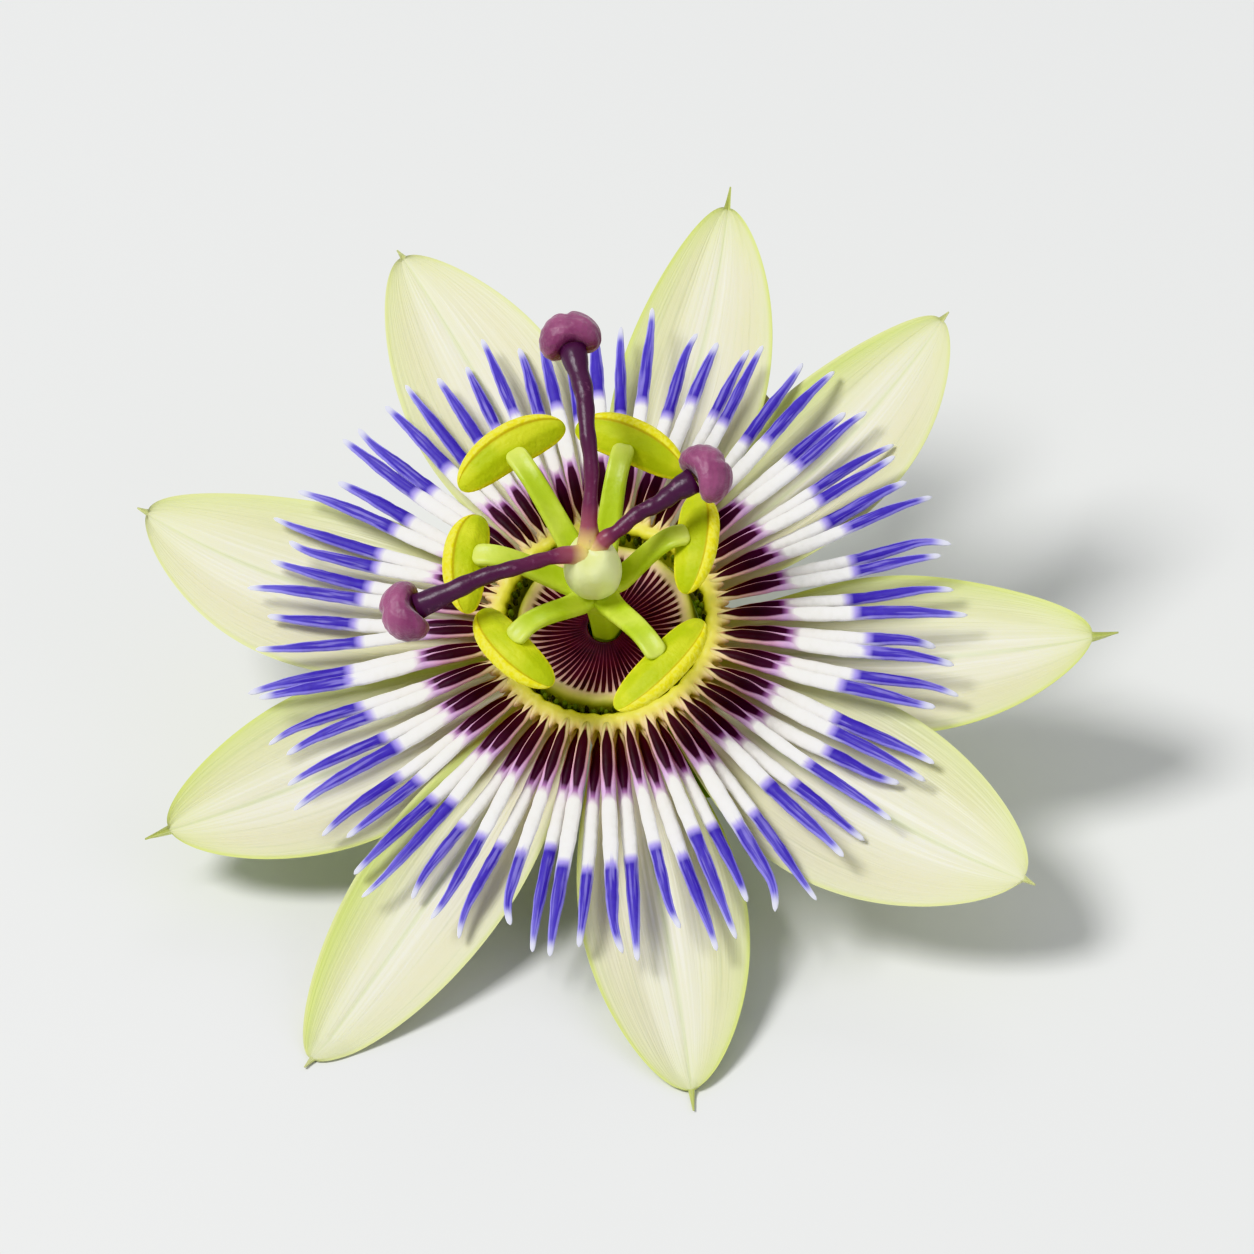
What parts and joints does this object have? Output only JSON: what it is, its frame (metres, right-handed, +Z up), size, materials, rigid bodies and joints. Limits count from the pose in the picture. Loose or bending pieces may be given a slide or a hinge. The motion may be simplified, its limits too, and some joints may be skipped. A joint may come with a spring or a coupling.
{
  "type": "passion flower",
  "caption": "Picked blue passion flower with its cut stalk, open star of pale petals and sepals, banded corona, stamens and plum stigmas, lying face up on a surface.",
  "frame": {"origin": "middle of the base of the flower's bounding box, on the surface that it lies on", "axes": "+Z up from the surface; the flower's face leans towards -Y and the cut end of its stalk points to +Y"},
  "size_m": [0.0908, 0.1006, 0.0498],
  "materials": {
    "petal_white": "soft waxy petal, cream white with green rims",
    "sepal_green_white": "soft waxy sepal, cream white inside and green outside",
    "corona_blue": "fleshy filaments banded maroon, white and violet blue",
    "fringe_dark": "dark green and black knobs",
    "nectar_cover_purple": "dark purple fringe with a pale green crest",
    "cup_green": "smooth living green",
    "column_green": "smooth yellow green",
    "ovary_green": "smooth pale green",
    "stamen_green": "smooth yellow green",
    "anther_yellow": "green back with powdery yellow edges",
    "style_purple": "dark purple, slightly glossy",
    "stigma_plum": "plum, slightly velvety",
    "bract_green": "leaf green",
    "stalk_green": "green with a brown flush"
  },
  "bodies": {
    "root": {"stalk": "stalk_green", "bract_1": "bract_green", "bract_2": "bract_green", "bract_3": "bract_green", "floral_cup": "cup_green", "sepal_1": "sepal_green_white", "sepal_2": "sepal_green_white", "sepal_3": "sepal_green_white", "sepal_4": "sepal_green_white", "petal_1": "petal_white", "petal_2": "petal_white", "petal_3": "petal_white", "petal_4": "petal_white", "petal_5": "petal_white", "corona_lower_1": "corona_blue", "corona_lower_2": "corona_blue", "corona_lower_3": "corona_blue", "corona_lower_4": "corona_blue", "corona_lower_5": "corona_blue", "corona_lower_6": "corona_blue", "corona_upper_1": "corona_blue", "corona_upper_2": "corona_blue", "corona_upper_3": "corona_blue", "corona_upper_4": "corona_blue", "corona_upper_5": "corona_blue", "corona_upper_6": "corona_blue", "corona_fringe": "fringe_dark", "nectar_cover": "nectar_cover_purple", "limen": "cup_green", "column": "column_green", "ovary": "ovary_green", "stamen_1": "stamen_green", "stamen_2": "stamen_green", "stamen_3": "stamen_green", "stamen_4": "stamen_green", "stamen_5": "stamen_green", "stamen_6": "stamen_green", "anther_1": "anther_yellow", "anther_2": "anther_yellow", "anther_3": "anther_yellow", "anther_4": "anther_yellow", "anther_5": "anther_yellow", "anther_6": "anther_yellow", "style_1": "style_purple", "style_2": "style_purple", "style_3": "style_purple", "stigma_1": "stigma_plum", "stigma_2": "stigma_plum", "stigma_3": "stigma_plum"}
  },
  "joints": []
}
